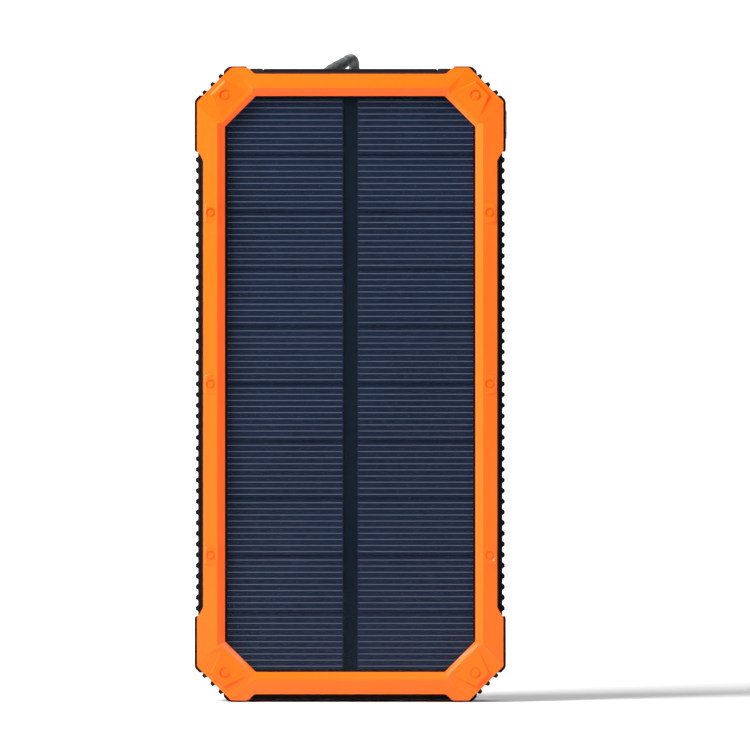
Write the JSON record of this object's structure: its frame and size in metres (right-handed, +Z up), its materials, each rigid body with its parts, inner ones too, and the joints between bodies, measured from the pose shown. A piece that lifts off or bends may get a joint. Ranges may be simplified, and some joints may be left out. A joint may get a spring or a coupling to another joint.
{
  "type": "solar phone charger",
  "caption": "Rugged handheld solar power bank: flat orange framed solar panel on a black case with rubber corners, ribbed side grips, port cover, side button and wrist cord.",
  "frame": {"origin": "middle of the case's footprint, on the surface that its two lower rubber corners stand on", "axes": "+Z up along the case's length, -Y out of the solar panel, +X to the right seen from the panel's side"},
  "size_m": [0.0784, 0.0309, 0.1627],
  "materials": {
    "orange_plastic": "satin injection-moulded, fine spark-erosion texture",
    "black_plastic": "matt, finely textured",
    "black_rubber": "soft matt",
    "grey_plastic": "satin",
    "white_plastic": "matt",
    "solar_cell": "dark blue silicon under resin, fine silver lines",
    "clear_cover": "clear, glossy",
    "dark_laminate": "dark laminate",
    "plated_steel": "bright plated",
    "battery_foil": "soft foil",
    "foam": "closed-cell foam",
    "board_green": "solder mask",
    "red_insulation": "wire insulation",
    "black_insulation": "wire insulation",
    "cord_grey": "braided polyester"
  },
  "bodies": {
    "case": {"front_bezel": "orange_plastic", "rear_shell": "black_plastic", "panel_carrier": "black_plastic", "cord_bead": "black_plastic", "corner_bumper_top_left": "black_rubber", "corner_bumper_top_right": "black_rubber", "corner_bumper_bottom_left": "black_rubber", "corner_bumper_bottom_right": "black_rubber", "side_grip_left": "black_rubber", "side_grip_right": "black_rubber", "perimeter_gasket": "black_rubber", "torch_led": "white_plastic", "solar_cell_left_01": "solar_cell", "solar_cell_left_02": "solar_cell", "solar_cell_left_03": "solar_cell", "solar_cell_left_04": "solar_cell", "solar_cell_left_05": "solar_cell", "solar_cell_left_06": "solar_cell", "solar_cell_left_07": "solar_cell", "solar_cell_left_08": "solar_cell", "solar_cell_left_09": "solar_cell", "solar_cell_left_10": "solar_cell", "solar_cell_right_01": "solar_cell", "solar_cell_right_02": "solar_cell", "solar_cell_right_03": "solar_cell", "solar_cell_right_04": "solar_cell", "solar_cell_right_05": "solar_cell", "solar_cell_right_06": "solar_cell", "solar_cell_right_07": "solar_cell", "solar_cell_right_08": "solar_cell", "solar_cell_right_09": "solar_cell", "solar_cell_right_10": "solar_cell", "solar_cover": "clear_cover", "torch_lens": "clear_cover", "charge_light_lens": "clear_cover", "panel_substrate": "dark_laminate", "boost_inductor": "dark_laminate", "screw_top_left": "plated_steel", "screw_top_right": "plated_steel", "screw_middle_left": "plated_steel", "screw_middle_right": "plated_steel", "screw_bottom_left": "plated_steel", "screw_bottom_right": "plated_steel", "usb_a_port_left": "plated_steel", "usb_a_port_right": "plated_steel", "micro_usb_port": "plated_steel", "tact_switch": "plated_steel", "anchor_pin": "plated_steel", "cord_anchor": "plated_steel", "battery_front": "battery_foil", "battery_rear": "battery_foil", "foam_pad": "foam", "circuit_board": "board_green", "solar_lead_positive": "red_insulation", "battery_lead_positive": "red_insulation", "solar_lead_negative": "black_insulation", "battery_lead_negative": "black_insulation", "wrist_cord": "cord_grey"},
    "port_cover": {"port_cover": "black_rubber"},
    "power_button": {"power_button": "grey_plastic"}
  },
  "joints": [
    {"name": "port_cover_hinge", "type": "hinge", "parent": "case", "child": "port_cover", "pos_m": [0, -0.0026, 0.15835], "axis": [1, 0, 0], "range_deg": [0, 120]},
    {"name": "power_button_slide", "type": "slide", "parent": "case", "child": "power_button", "axis": [-1, 0, 0], "range_m": [0, 0.0005], "stiffness_N_per_m": 600}
  ]
}
